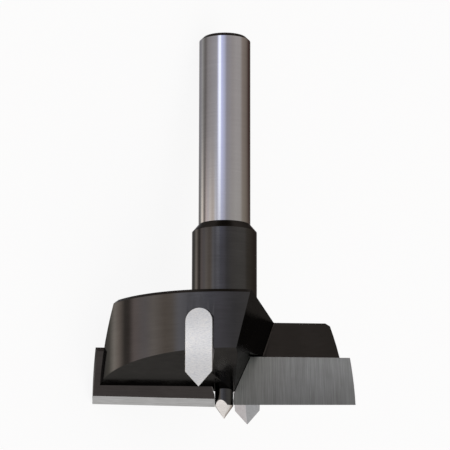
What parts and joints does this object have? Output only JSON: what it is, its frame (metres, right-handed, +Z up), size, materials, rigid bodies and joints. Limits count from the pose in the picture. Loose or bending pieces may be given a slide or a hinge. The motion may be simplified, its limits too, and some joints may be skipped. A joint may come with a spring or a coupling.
{
  "type": "hinge boring bit",
  "caption": "Carbide-tipped hinge boring bit for flat-bottomed cup hinge holes in wood: round shank, collar, two-lobed head with chip spaces, scoring spurs and a centre point.",
  "frame": {"origin": "centre of the bounding box's underside, on the floor that the bit lies on", "axes": "+Z up; +X along the floor, from the cutting end towards the shank's end; the bit lies as it comes to rest on one cutting tip's outer corner, on the other lobe's trailing corner and on the rim of the shank's end, so its own axis runs 12.4 degrees downhill towards the shank's end, in the XZ plane"},
  "size_m": [0.0608, 0.038, 0.0323],
  "materials": {
    "blackened_steel": "satin black finish on turned and milled steel; the shank and the centre point are ground bright",
    "carbide": "ground tungsten carbide, finely brushed, light grey"
  },
  "bodies": {
    "root": {"bit_body": "blackened_steel", "cutting_tip_1": "carbide", "cutting_tip_2": "carbide", "spur_1": "carbide", "spur_2": "carbide"}
  },
  "joints": []
}
